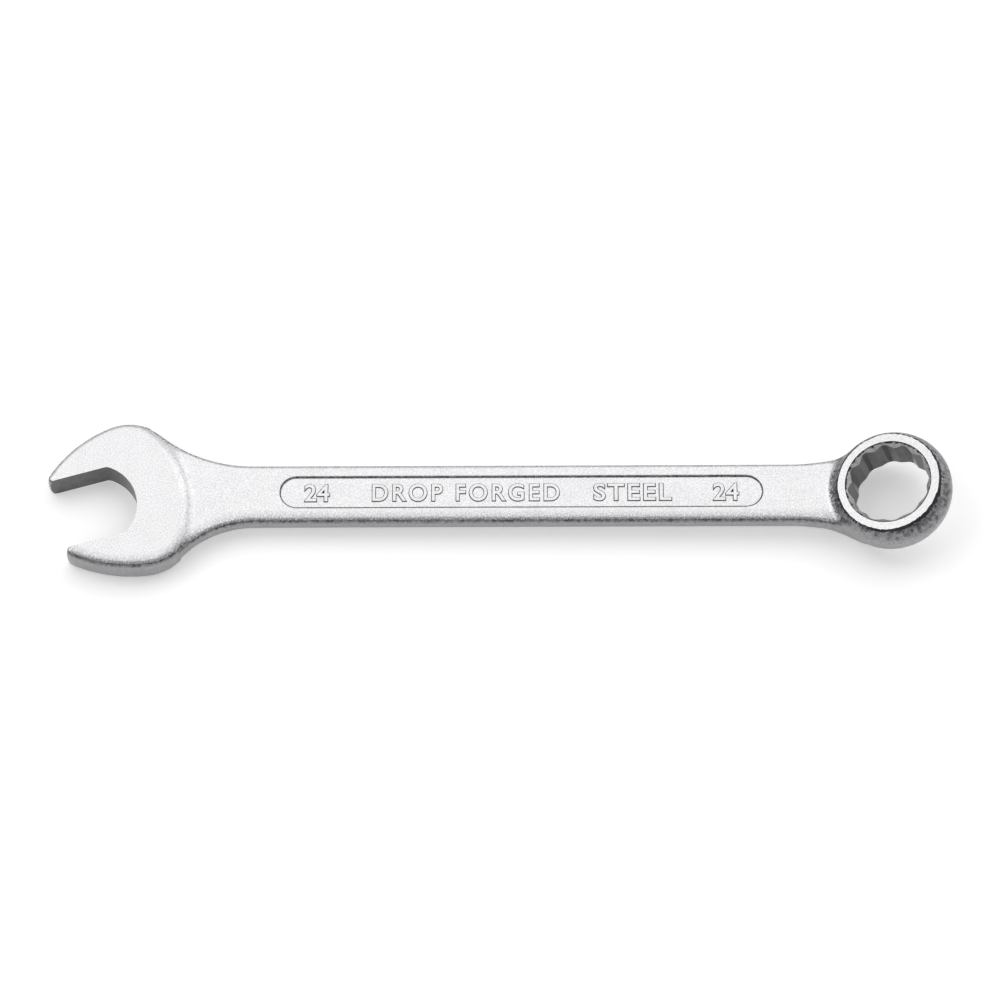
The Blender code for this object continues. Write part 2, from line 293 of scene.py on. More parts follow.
def draw_in(obj, side, rise, share):
    """Extrudes the top face (side 1) or bottom face (side -1) by rise and scales it to that share."""
    edit(obj, "FACE", lambda mesh, face: face.normal.z * side > 0.9 and len(face.vertices) > 8)
    move = {"value": (0, 0, side * rise * MM)}
    bpy.ops.mesh.extrude_region_move(TRANSFORM_OT_translate=move)
    bpy.ops.transform.resize(value=(share, share, 1), center_override=tuple(obj.location))
    done()


def lidded_disc(name, centre, foot, foot_half, top_radius, rise):
    """A disc of radius foot whose lids rise above and below it to a smaller radius."""
    x, y = centre
    bpy.ops.mesh.primitive_cylinder_add(
        vertices=DISC_SIDES, radius=foot * MM, depth=2 * foot_half * MM, location=(x * MM, y * MM, 0)
    )
    made = bpy.context.object
    made.name = name
    for side in (1, -1):
        draw_in(made, side, rise, top_radius / foot)
    return made


slope = STEP_RUN / (HEAD_THICK / 2 - HALF_SHANK)
foot_half = HALF_SHANK - LID_SINK
lid_rise = HEAD_THICK / 2 + BEYOND - foot_half
foot = STEP_RADIUS + slope * (HEAD_THICK / 2 - foot_half)
head = plate("head", head_outline(), -HEAD_THICK / 2, HEAD_THICK / 2, HEAD_RIM)
step_centre = in_jaw_axes([STEP_CENTRE])[0]
disc = lidded_disc("disc", step_centre, foot, foot_half, foot - slope * lid_rise, lid_rise)
combine(head, disc, "INTERSECT")
for side in (1, -1):
    combine(head, plate("tip", tip_outline(side), -HEAD_THICK, HEAD_THICK), "DIFFERENCE")
print("head:", len(head.data.vertices), "points")

# %% [markdown]
# ## The shank
# The shank is a flat bar with its edges broken by the tumbling. Its outline carries both hollow necks, so
# the bar widens into the head and into the ring without a seam.

# %% Shank
RING_WIDEST, RING_FACE = 19.8, 17.1  # radii at half thickness and at the ground faces
RING_NECK = 50.0  # radius of the hollow between shank and ring
RING_LAP = 1.7  # how far the neck's curve runs on into the ring


def ring_neck(side):
    y = side * (SHANK_WIDTH / 2 + RING_NECK)
    reach = RING_WIDEST + RING_NECK - RING_LAP
    centre = (RING_CENTRE[0] - math.sqrt(reach**2 - y**2), y)
    return arc(centre, RING_NECK, -side * math.pi / 2, angle_to(centre, RING_CENTRE), side)


def shank_outline():
    inside = in_jaw_axes([(THROAT + INSIDE, 0.0)])
    lower = head_neck(-1)[::-1] + ring_neck(-1)
    upper = ring_neck(1)[::-1] + head_neck(1)
    return inside + lower + upper


shank = plate("shank", shank_outline(), -HALF_SHANK, HALF_SHANK, SHANK_EDGE)
print("shank:", len(shank.data.vertices), "points")

# %% [markdown]
# ## The collar
# Next to the ring the bar thickens, more on the far side of the tilt than on the near one. It is modelled
# like the head: a plate with the neck's outline, kept where it lies inside a lidded disc.

# %% Collar
COLLAR_TOP, COLLAR_BOTTOM = 6.3, -5.4
COLLAR_TOP_RUN, COLLAR_BOTTOM_RUN = 3.2, 6.0


def collar_half(side, height, run):
    """The collar above (side 1) or below (side -1) the shank's middle plane."""
    outline = ring_neck(-1) + ring_neck(1)[::-1]
    bottom, top = sorted((0.0, side * (height + BEYOND)))
    block = plate("collar", outline, bottom, top)
    inner = RING_WIDEST - RING_LAP
    low_level = HALF_SHANK - LID_SINK
    steep = run / (height - HALF_SHANK)
    wide = inner + steep * (height - low_level)
    rise = height - low_level
    limit = lidded_disc("limit", (RING_CENTRE[0], 0), wide, low_level, inner, rise)
    return combine(block, limit, "INTERSECT")


collar_top = collar_half(1, COLLAR_TOP, COLLAR_TOP_RUN)
collar_bottom = collar_half(-1, -COLLAR_BOTTOM, COLLAR_BOTTOM_RUN)
print("collar:", len(collar_top.data.vertices), "+", len(collar_bottom.data.vertices), "points")

# %% [markdown]
# ## The ring
# The ring is a barrel: widest at mid height. A flat disc is grown upwards by extruding its top face again
# and again, and each new face is scaled to the barrel's radius at that height. It is left a little too
# thick, because its faces are ground flat later.

# %% Ring
GRINDING = 0.6  # left on each face for grinding
BARREL_ROWS = 16
BARREL_SIDES = 180
BLANK = 0.1  # thickness of the disc that the barrel is grown from


def barrel_radius(level):
    return RING_FACE + (RING_WIDEST - RING_FACE) * (1 - (level / RING_HALF) ** 2)


def ring_place():
    return Matrix.Translation(Vector(RING_CENTRE) * MM) @ Matrix.Rotation(-RING_TILT, 4, "Y")


def barrel(name):
    whole = RING_HALF + GRINDING
    row = 2 * whole / BARREL_ROWS
    levels = [-whole + row * (i + 0.5) for i in range(BARREL_ROWS)]
    bpy.ops.mesh.primitive_cylinder_add(
        vertices=BARREL_SIDES, radius=barrel_radius(levels[0]) * MM, depth=BLANK * MM,
        location=(0, 0, levels[0] * MM),
    )
    made = bpy.context.object
    made.name = name
    bpy.ops.object.transform_apply(location=True)
    radius = barrel_radius(levels[0])
    for level in levels[1:]:
        grown = barrel_radius(level)
        edit(made, "FACE", lambda mesh, face: face.normal.z > 0.9 and len(face.vertices) > 8)
        bpy.ops.mesh.extrude_region_move(TRANSFORM_OT_translate={"value": (0, 0, row * MM)})
        bpy.ops.transform.resize(value=(grown / radius, grown / radius, 1), center_override=(0, 0, 0))
        done()
        radius = grown
    made.data.transform(ring_place())
    return made


ring = barrel("ring")
print("ring:", len(ring.data.vertices), "points")

# %% [markdown]
# ## Fusing the blank
# Steel flows in the die, so nothing on the blank meets at a hard corner. The four shapes are joined and
# remeshed with small voxels, which fuses them into one skin. Smoothing then rounds it all a little, and a
# good deal more where the step and the collar run into the shank. Two vertex groups say where. At the
# step only the heights are smoothed, so that the head keeps its outline.

# %% Fuse and soften
VOXEL = 0.5
SKIN_PASSES, FILLET_PASSES = 5, 34  # rounds of smoothing
STEP_FILLET, COLLAR_FILLET = 5.0, 6.0  # how far either side of its middle each fillet is smoothed
STEP_MIDDLE = STEP_RADIUS + STEP_RUN / 2 + 0.6  # radius of the middle of the step's fillet
COLLAR_MIDDLE = 21.5  # radius of the middle of the collar's, round the ring
HEAD_END = -90.0  # the whole head lies to the left of this
COLLAR_END = RING_CENTRE[0] - 6  # and the collar to the left of this

pick(head)
for part in (shank, collar_top, collar_bottom, ring):
    part.select_set(True)
bpy.ops.object.join()
wrench = head
wrench.name = "forged_wrench"
wrench.data.name = "forged_wrench"
change(wrench, "REMESH", mode="VOXEL", voxel_size=VOXEL * MM)
print("fused blank:", len(wrench.data.vertices), "points")


def near(value, centre, reach):
    """1 at the centre, falling smoothly to 0 at this distance from it."""
    share = max(0.0, 1 - abs(value - centre) / reach)
    return share * share * (3 - 2 * share)


def step_softness(point):
    """How much the fillet of the head's step is smoothed at this point on the bench, from 0 to 1."""
    bench = point / MM
    out = math.hypot(bench.x - step_centre[0], bench.y - step_centre[1])
    return near(out, STEP_MIDDLE, STEP_FILLET) if bench.x < HEAD_END else 0.0


def collar_softness(point):
    """The same for the fillet between the collar and the shank."""
    bench = point / MM
    out = math.hypot(bench.x - RING_CENTRE[0], bench.y)
    return near(out, COLLAR_MIDDLE, COLLAR_FILLET) if bench.x < COLLAR_END else 0.0


def soften(name, softness, sideways):
    """Smooths the fillets that softness weighs; without sideways, the outline in plan stays."""
    group = wrench.vertex_groups.new(name=name)
    for vertex in wrench.data.vertices:
        weight = softness(vertex.co)
        if weight > 0.01:
            group.add([vertex.index], weight, "REPLACE")
    change(
        wrench, "SMOOTH", factor=0.5, iterations=FILLET_PASSES, vertex_group=name,
        use_x=sideways, use_y=sideways,
    )


change(wrench, "SMOOTH", factor=0.5, iterations=SKIN_PASSES)
soften("step", step_softness, False)
soften("collar", collar_softness, True)
print("softened:", [group.name for group in wrench.vertex_groups])

# %% [markdown]
# ## The swell of the sides
# A die can't have upright walls, or the forging would stick in it. The sides swell a little towards the
# middle of the thickness, where the two dies met. Each point of a side moves out along its own normal.

# %% Swell
SWELL = 0.6
BARREL_FROM = 112.0  # from here on the ring's barrel takes over from the shank
SWELL_FADE = 10.0  # the swell fades out over this length before it


def half_thickness(point):
    """Half of the thickness of the head, or of the shank, at this point on the bench."""
    out = math.hypot(point.x - step_centre[0], point.y - step_centre[1])
    on_head = out < STEP_RADIUS + STEP_RUN / 2 and point.x < 0
    return HEAD_THICK / 2 if on_head else HALF_SHANK


normals = [vertex.normal.copy() for vertex in wrench.data.vertices]
for vertex, normal in zip(wrench.data.vertices, normals):
    bench = vertex.co / MM
    level = min(1.0, abs(bench.z) / half_thickness(bench))
    fade = max(0.0, min(1.0, (BARREL_FROM - bench.x) / SWELL_FADE))
    outward = Vector((normal.x, normal.y, 0)) * SWELL * (1 - level**2) * fade
    vertex.co += outward * MM
print("widest part of the head:", round(max(v.co.y for v in wrench.data.vertices) / MM, 2), "mm out")

# %% [markdown]
# ## The crown of the shank
# A polishing belt wears the shank's faces down towards their edges. The wear is only a tenth of a
# millimetre, which is enough to let the light fall off there.

# %% Crown
CROWN_FROM, CROWN_TO, CROWN_DROP = 5.8, 9.75, 0.1
CROWN_MIDDLE, CROWN_REACH = 5.0, 105.0  # the belt's bite along the shank
CROWN_FADE = 3  # how much faster than that the wear reaches its full depth
CROWN_LIMIT = 1.2  # beyond the shank's edge the wear grows only a little more
FACE_SKIN = 1.2  # only points this close to a face are worn


def crown(point):
    """How far the belt has worn the face down at this point, in millimetres."""
    out = (abs(point.y / MM) - CROWN_FROM) / (CROWN_TO - CROWN_FROM)
    ends = near(point.x / MM, CROWN_MIDDLE, CROWN_REACH)
    return CROWN_DROP * max(0.0, min(out, CROWN_LIMIT)) ** 2 * min(1.0, CROWN_FADE * ends)


for vertex in wrench.data.vertices:
    if abs(vertex.co.z) > (HALF_SHANK - FACE_SKIN) * MM:
        vertex.co.z -= math.copysign(crown(vertex.co), vertex.co.z) * MM
print("worn at the shank's edge:", round(crown(Vector((0, CROWN_TO, 0)) * MM), 2), "mm")

# %% [markdown]
# ## Grinding the ring's faces
# The ring's two faces are ground flat and parallel, which leaves a bright annulus with a crisp edge. Two
# thick discs, tilted with the ring, take the steel away.

# %% Grind
STONE_THICK, STONE_RADIUS, STONE_SIDES = 3.0, 22.0, 64
for side in (1, -1):
    level = side * (RING_HALF + STONE_THICK / 2)
    bpy.ops.mesh.primitive_cylinder_add(
        vertices=STONE_SIDES, radius=STONE_RADIUS * MM, depth=STONE_THICK * MM,
        location=(0, 0, level * MM),
    )
    stone = bpy.context.object
    bpy.ops.object.transform_apply(location=True)
    stone.data.transform(ring_place())
    combine(wrench, stone, "DIFFERENCE")
print("ground:", len(wrench.data.vertices), "points")

# %% [markdown]
# ## Broaching the jaw
# The jaw is cut after forging, so its walls are flat and its edges stay crisp. The outline has two
# parallel flats, a hollow throat and a small round where they meet.

# %% Mouth
THROAT_CORNER = 3.0


def mouth_outline():
    half, corner = GAP / 2, THROAT_CORNER
    far = -2 * THROAT
    x = math.sqrt((THROAT - corner) ** 2 - (half - corner) ** 2)
    lower, upper = (x, corner - half), (x, half - corner)
    meet = angle_to((0, 0), upper)
    points = [(far, -half)]
    points += arc(lower, corner, -math.pi / 2, -meet, 1, 0.3)
    points += arc((0, 0), THROAT, -meet, meet, 1, 0.5)[1:-1]
    points += arc(upper, corner, meet, math.pi / 2, 1, 0.3)
    return in_jaw_axes(points + [(far, half)])


combine(wrench, plate("mouth", mouth_outline(), -HEAD_THICK, HEAD_THICK), "DIFFERENCE")
print("with the mouth:", len(wrench.data.vertices), "points")

# %% [markdown]
# ## Broaching the socket
# Twelve points are two hexagons, one turned a twelfth of a turn. The broach leaves a small relief in each
# corner, so that the nut is held by its flats and not by its corners. A conical lead-in on each face
# helps the ring over the nut.

# %% Socket
POINTS = 12
BROACH_TURN = math.radians(5.4)
RELIEF = 0.45  # how far each corner is cut back
LEAD_IN = 14.35  # radius of the lead-in at the ring's face
CONE_TALL = 4.0  # the cone that cuts it stands half inside the ring and half above it


def star_outline():
    corner = GAP / 2 / math.cos(math.pi / 6) - RELIEF
    ridge = GAP / 2 / math.cos(math.pi / POINTS)
    opening = math.atan2(RELIEF * math.tan(math.pi / 3), corner)
    tip = corner / math.cos(opening)
    points = []
    for i in range(POINTS):
        middle = BROACH_TURN + 2 * i * math.pi / POINTS
        for turn, radius in ((-opening, tip), (opening, tip), (math.pi / POINTS, ridge)):
            points.append((radius * math.cos(middle + turn), radius * math.sin(middle + turn)))
    return points


broach = plate("broach", star_outline(), -2 * RING_HALF, 2 * RING_HALF)
broach.data.transform(ring_place())
combine(wrench, broach, "DIFFERENCE")
for side in (1, -1):
    bottom = LEAD_IN - CONE_TALL / 2
    level = side * RING_HALF
    bpy.ops.mesh.primitive_cone_add(
        vertices=BARREL_SIDES, radius1=bottom * MM, radius2=(bottom + CONE_TALL) * MM,
        depth=CONE_TALL * MM,
    )
    cone = bpy.context.object
    if side < 0:
        cone.data.transform(Matrix.Rotation(math.pi, 4, "X"))
    cone.data.transform(ring_place() @ Matrix.Translation((0, 0, level * MM)))
    combine(wrench, cone, "DIFFERENCE")
print("machined:", len(wrench.data.vertices), "points")

# %% [markdown]
# ## The sunk panel
# The dies press a long panel with round ends into both faces of the shank. Its wall is short and steep,
# but still a slope with a soft foot and a soft lip, so that the forging comes out of the die. The cutter
# is a stadium grown in rows: each row is a little larger and a little higher, along a curve like an S.

# %% Panel
PANEL_LEFT, PANEL_RIGHT, PANEL_OFFSET = -72.0, 86.0, 0.3
PANEL_WIDTH, PANEL_DEPTH, PANEL_RUN = 10.8, 0.65, 0.75  # the run is how far the wall leans out
PANEL_ROWS, PANEL_EASE = 8, 0.8  # the slope is part straight, part S
LIP = 0.02  # how far the S runs past the shank's face, so that it crosses it cleanly


def stadium(grow, level):
    """The panel's outline, grown by this much all round, at this height."""
    half, y = PANEL_WIDTH / 2, PANEL_OFFSET
    quarter = math.pi / 2
    right = arc((PANEL_RIGHT - half, y), half, -quarter, quarter, 1)
    left = arc((PANEL_LEFT + half, y), half, quarter, -quarter, 1)
    points = []
    for px, py in right + left:
        middle = PANEL_RIGHT - half if px > 0 else PANEL_LEFT + half
        share = 1 + grow / half
        points.append((middle + (px - middle) * share, y + (py - y) * share, level))
    return points


def stacked(name, rows):
    """A closed solid from rows of points, each row as long as the one below it."""
    count = len(rows[0])
    points = [(x * MM, y * MM, z * MM) for row in rows for x, y, z in row]
    faces = [tuple(range(count))[::-1], tuple(range(len(points) - count, len(points)))]
    for i in range(len(rows) - 1):
        for j in range(count):
            a, b = i * count + j, i * count + (j + 1) % count
            faces.append((a, b, b + count, a + count))
    mesh = bpy.data.meshes.new(name)
    mesh.from_pydata(points, [], faces)
    made = bpy.data.objects.new(name, mesh)
    bpy.context.scene.collection.objects.link(made)
    faces_out(made)
    return made


def panel_cutter(side):
    rows = []
    for i in range(PANEL_ROWS + 1):
        t = i / PANEL_ROWS
        climb = (1 - PANEL_EASE) * t + PANEL_EASE * t * t * (3 - 2 * t)
        level = HALF_SHANK - PANEL_DEPTH + (PANEL_DEPTH + LIP) * climb
        rows.append(stadium(PANEL_RUN * (t - 0.5), side * level))
    rows.append(stadium(PANEL_RUN / 2, side * (HALF_SHANK + BEYOND)))
    return stacked("panel", rows)


for side in (1, -1):
    combine(wrench, panel_cutter(side), "DIFFERENCE")
print("with panels:", len(wrench.data.vertices), "points")

# %% [markdown]
# ## Raised characters
# The die also carries the size, 24, near both ends of the panel. The plain words between them say how
# the tool was made and of what. Each text is extruded and bevelled as text, and made a mesh before it is
# placed.

# %% Characters
MARK_RAISE, MARK_BEVEL = 0.05, 0.3  # the upright and the sloped part of a character's side
MARK_HEIGHT = 6.6
MARK_FAT = 0.01  # how much the strokes are fattened, as a share of the size
MARK_DOWN = 0.1  # the characters sit this far below the panel's middle line
CAP_SHARE = 0.729  # height of a capital in the built-in face, as a share of its size


def mark(words, left, right, spacing=1.0):
    """Raised characters in the panel that fill the space from left to right."""
    bpy.ops.object.text_add()
    text = bpy.context.object
    text.data.body = words
    text.data.size = 1.0
    text.data.align_x, text.data.align_y = "CENTER", "CENTER"
    text.data.offset = MARK_FAT
    text.data.space_character = spacing
    text.data.extrude = MARK_RAISE / MARK_HEIGHT * CAP_SHARE
    text.data.bevel_depth = MARK_BEVEL / MARK_HEIGHT * CAP_SHARE
    text.data.bevel_resolution = 0
    text.data.resolution_u = 8
    pick(text)
    bpy.ops.object.convert(target="MESH")
    made = bpy.context.object
    made.name = "mark_" + words.lower().replace(" ", "_")
    points = [v.co for v in made.data.vertices]
    x0, x1 = min(p.x for p in points), max(p.x for p in points)
    y0, y1 = min(p.y for p in points), max(p.y for p in points)
    scale_x = (right - left) / (x1 - x0)
    scale_y = MARK_HEIGHT / (y1 - y0)
    place = Matrix.Diagonal((scale_x * MM, scale_y * MM, MARK_HEIGHT / CAP_SHARE * MM, 1))
    place = place @ Matrix.Translation((-(x0 + x1) / 2, -(y0 + y1) / 2, 0))
    made.data.transform(place)
    level = HALF_SHANK - PANEL_DEPTH
    middle = ((left + right) / 2 * MM, (PANEL_OFFSET - MARK_DOWN) * MM, level * MM)
    made.data.transform(Matrix.Translation(middle))
    print(made.name + ":", len(made.data.vertices), "points")
    return made


marks = [mark("24", -64.2, -55.6), mark("24", 69.6, 78.4)]
marks += [mark("DROP FORGED", -42.0, 19.7, 1.25), mark("STEEL", 30.5, 56.4, 1.15)]
pick(marks[0])
for other in marks[1:]:
    other.select_set(True)
bpy.ops.object.join()
lettering = marks[0]
lettering.name = "raised_characters"
lettering.data.name = "raised_characters"

# %% [markdown]
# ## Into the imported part's axes
# Both pieces are moved in their meshes, so that their objects stay at the origin. Edges that turn by more
# than the crease angle stay crisp, and the rest is shaded smooth.

# %% Place
CREASE = math.radians(32)
for piece in (wrench, lettering):
    piece.data.transform(Matrix.Translation(TO_PART))
    pick(piece)
    bpy.ops.object.shade_smooth_by_angle(angle=CREASE)
for axis, letter in enumerate("xyz"):
    places = [vertex.co[axis] / MM for vertex in wrench.data.vertices]
    print(letter, "from", round(min(places), 2), "to", round(max(places), 2), "mm")

# %% [markdown]
# ## Painted rim shade and dark spots
# The rims at the top and bottom of each wall are painted dark: painted shade. The faces also carry dark
# spots along the tool's lower edge. Two values on each point say how much.

# %% Painted rim shade and dark spots
RIM_FROM, RIM_TO = 0.62, 0.74  # where a wall starts to darken and is darkest, as shares of its height
RIM_END = 105.0  # the rims stay dark up to here
SPOT_REACH = 3.8  # how far in from the lower edge the dark spots lie


def ramp(value, start, end):
    return max(0.0, min(1.0, (value - start) / (end - start)))


# Painted shade: the share of the dark rim tone at a point near the top or bottom of a wall.
def rim_shade_share(point):
    half = half_thickness(point)
    return ramp(abs(point.z), RIM_FROM * half, RIM_TO * half) if point.x < RIM_END else 0.0


def reach_to(point, centre):
    return math.hypot(point.x - centre[0], point.y - centre[1])


def depth_inside(point):
    """How far this point lies inside the lower edge of the shank, of the neck or of the head."""
    neck, shoulder = head_neck_centre(-1), shoulder_centre(-1)
    share = SHOULDER_RADIUS / (SHOULDER_RADIUS + NECK_RADIUS[-1])
    if point.x > neck[0]:
        return point.y + SHANK_WIDTH / 2
    if point.x > shoulder[0] + (neck[0] - shoulder[0]) * share:
        return reach_to(point, neck) - NECK_RADIUS[-1]
    if point.y > shoulder[1]:
        return SPOT_REACH
    centre, radius = flank(-1)
    if point.x > shoulder[0]:
        return SHOULDER_RADIUS - reach_to(point, shoulder)
    return radius - reach_to(point, in_jaw_axes([(centre[0], HEAD_SHIFT - centre[1])])[0])


def lower_spot_share(point):
    return ramp(depth_inside(point), SPOT_REACH, 0.0) if point.x < BARREL_FROM else 0.0


# The painted rim shade and the dark spots, stored as values on each point.
rims = wrench.data.attributes.new("rim", "FLOAT", "POINT")
lower_spots = wrench.data.attributes.new("lower_edge_spots", "FLOAT", "POINT")
for vertex in wrench.data.vertices:
    bench = (vertex.co - TO_PART) / MM
    rims.data[vertex.index].value = rim_shade_share(bench)
    lower_spots.data[vertex.index].value = lower_spot_share(bench)
print("dark rim points:", sum(item.value > 0.5 for item in rims.data))

# %% [markdown]
# ## Satin chrome
# Satin chrome is metal with a fine even grain. Five things make it read as real: a fine bump the size
# of the blasting grain, a slow change of roughness where tumbling has worn it, small dark and bright
# flecks, sides painted darker than the faces as painted shade, and the painted rim shade and the dark
# spots that were marked above. The noise is read on Object coordinates, so it stays with the piece.

# %% Nodes
def add(tree, kind, **inputs):
    node = tree.nodes.new(kind)
    for name, value in inputs.items():
        node.inputs[name.replace("_", " ")].default_value = value
    return node


def noise(tree, scale, detail=3.0, rough=0.5, stretch=(1, 1, 1)):
    """A noise of this many waves to the metre, drawn out along an axis where stretch is below 1."""
    coords = tree.nodes.new("ShaderNodeTexCoord")
    mapping = add(tree, "ShaderNodeMapping", Scale=stretch)
    made = add(tree, "ShaderNodeTexNoise", Scale=scale, Detail=detail, Roughness=rough)
    tree.links.new(coords.outputs["Object"], mapping.inputs["Vector"])
    tree.links.new(mapping.outputs["Vector"], made.inputs["Vector"])
    return made.outputs["Fac"]


def spread(tree, value, low_in, high_in, low_out=0.0, high_out=1.0):
    """Takes the value's range from low_in to high_in over to the range of the other two."""
    made = add(
        tree, "ShaderNodeMapRange",
        From_Min=low_in, From_Max=high_in, To_Min=low_out, To_Max=high_out,
    )
    tree.links.new(value, made.inputs["Value"])
    return made.outputs["Result"]


def blend(tree, share, first, second):
    made = tree.nodes.new("ShaderNodeMix")
    made.data_type = "RGBA"
    tree.links.new(share, made.inputs["Factor"])
    for name, colour in (("A", first), ("B", second)):
        socket = next(i for i in made.inputs if i.name == name and i.type == "RGBA")
        if isinstance(colour, tuple):
            socket.default_value = (*colour, 1)
        else:
            tree.links.new(colour, socket)
    return next(o for o in made.outputs if o.type == "RGBA")


def bump(tree, height, strength, distance, before=None):
    made = add(tree, "ShaderNodeBump", Strength=strength, Distance=distance * MM)
    tree.links.new(height, made.inputs["Height"])
    if before:
        tree.links.new(before, made.inputs["Normal"])
    return made.outputs["Normal"]


def combined(tree, operation, first, second):
    """One value from two; the second may be a plain number."""
    made = add(tree, "ShaderNodeMath")
    made.operation = operation
    tree.links.new(first, made.inputs[0])
    if isinstance(second, float):
        made.inputs[1].default_value = second
    else:
        tree.links.new(second, made.inputs[1])
    return made.outputs["Value"]


def point_value(tree, name):
    made = tree.nodes.new("ShaderNodeAttribute")
    made.attribute_name = name
    return made.outputs["Fac"]


def metal(name):
    material = bpy.data.materials.new(name)
    material.use_nodes = True
    shader = material.node_tree.nodes["Principled BSDF"]
    shader.inputs["Metallic"].default_value = 1.0
    return material, material.node_tree, shader


def uprightness(tree, jitter):
    """1 on the flat faces, 0 on the upright sides, made ragged by a noise."""
    geometry = tree.nodes.new("ShaderNodeNewGeometry")
    split = tree.nodes.new("ShaderNodeSeparateXYZ")
    tree.links.new(geometry.outputs["Normal"], split.inputs["Vector"])
    size = combined(tree, "ABSOLUTE", split.outputs["Z"], 0.0)
    return combined(tree, "ADD", size, jitter)


# %% The plating of the forged skin
FACE_TONES = (0.54, 0.54, 0.55), (0.75, 0.75, 0.755)
# Sides and rims are painted darker than the faces: painted shade.
SIDE_SHADE_TONES = (0.28, 0.28, 0.285), (0.36, 0.36, 0.365)
RIM_SHADE_TONES = (0.07, 0.07, 0.075), (0.27, 0.27, 0.275)
SPOT_TONE = (0.28, 0.28, 0.29)


def forged_chrome():
    """Bright mottled faces, with the sides and the ragged rims painted darker as painted shade."""
    material, tree, shader = metal("forged_chrome")
    grain = noise(tree, 1250.0, 5.0, 0.62)
    cloud = noise(tree, 150.0, 4.0, 0.55)
    flecks = noise(tree, 2400.0, 2.0, 0.6)
    streaks = noise(tree, 1300.0, 4.0, 0.6, stretch=(1, 1, 0.4))
    share = spread(tree, flecks, 0.34, 0.6)
    face = blend(tree, share, *FACE_TONES)
    side = blend(tree, spread(tree, streaks, 0.32, 0.64), *SIDE_SHADE_TONES)
    mottle = spread(tree, noise(tree, 650.0, 5.0, 0.7, stretch=(1, 1, 0.6)), 0.38, 0.62)
    rim = blend(tree, mottle, *RIM_SHADE_TONES)
    up = uprightness(tree, spread(tree, noise(tree, 1500.0, 4.0, 0.6), 0.3, 0.7, -0.14, 0.14))
    # Painted shade: the rims and the slopes between face and side take the dark rim tone.
    dark = combined(tree, "MAXIMUM", spread(tree, up, 0.12, 0.42), point_value(tree, "rim"))
    edge = blend(tree, dark, side, rim)
    # Dark spots on the faces along the tool's lower edge, where the point values say.
    spots = spread(tree, noise(tree, 2000.0, 3.0, 0.6), 0.42, 0.54)
    spotted = combined(tree, "MULTIPLY", spots, point_value(tree, "lower_edge_spots"))
    skin = blend(tree, spread(tree, up, 0.72, 0.84), edge, blend(tree, spotted, face, SPOT_TONE))
    tree.links.new(skin, shader.inputs["Base Color"])
    tree.links.new(spread(tree, cloud, 0.3, 0.7, 0.28, 0.38), shader.inputs["Roughness"])
    waves = bump(tree, cloud, 0.5, 0.12)
    tree.links.new(bump(tree, grain, 0.8, 0.075, waves), shader.inputs["Normal"])
    return material


# %% [markdown]
# ## The machined surfaces
# The ground faces are smoother and finer than the forged skin. The broached walls carry fine upright lines
# and are painted dark, as painted shade in the jaw and the socket; the relieved corners are painted darker
# still, as painted shade in the corners. The lead-in is rough, with a ragged upper edge painted dark as
# shade, and the slopes of the raised characters are painted dark, as painted shade round the characters.

# %% The ring's ground faces
GROUND_TONES = (0.51, 0.51, 0.52), (0.67, 0.67, 0.675)


def ground_chrome():
    material, tree, shader = metal("ground_chrome")
    grain = noise(tree, 1800.0, 3.0, 0.55)
    share = spread(tree, grain, 0.3, 0.65)
    tree.links.new(blend(tree, share, *GROUND_TONES), shader.inputs["Base Color"])
    tree.links.new(spread(tree, grain, 0.3, 0.7, 0.22, 0.3), shader.inputs["Roughness"])
    tree.links.new(bump(tree, grain, 0.5, 0.03), shader.inputs["Normal"])
    return material


# %% The broached walls, painted dark as shade, and the relieved corners, painted darker still
def painted_shade_broached_chrome(name, dark, bright):
    material, tree, shader = metal(name)
    lines = noise(tree, 2200.0, 2.0, 0.5, stretch=(1, 1, 0.04))
    cloud = noise(tree, 350.0, 3.0, 0.6)
    share = spread(tree, cloud, 0.3, 0.7)
    tree.links.new(blend(tree, share, (dark,) * 3, (bright,) * 3), shader.inputs["Base Color"])
    tree.links.new(spread(tree, cloud, 0.3, 0.7, 0.25, 0.38), shader.inputs["Roughness"])
    waves = bump(tree, cloud, 0.4, 0.08)
    tree.links.new(bump(tree, lines, 0.35, 0.02, waves), shader.inputs["Normal"])
    return material


# %% The lead-in
LEAD_IN_TONES = (0.42, 0.42, 0.42), (0.66, 0.66, 0.66)
# Painted shade: the dark tone of the ragged line at the lead-in's upper edge.
LEAD_IN_SHADE_LINE = (0.05, 0.05, 0.05)
RING_AXIS = (ring_place().to_3x3() @ Vector((0, 0, 1))).normalized()
RING_MIDDLE = Vector(RING_CENTRE) * MM + TO_PART


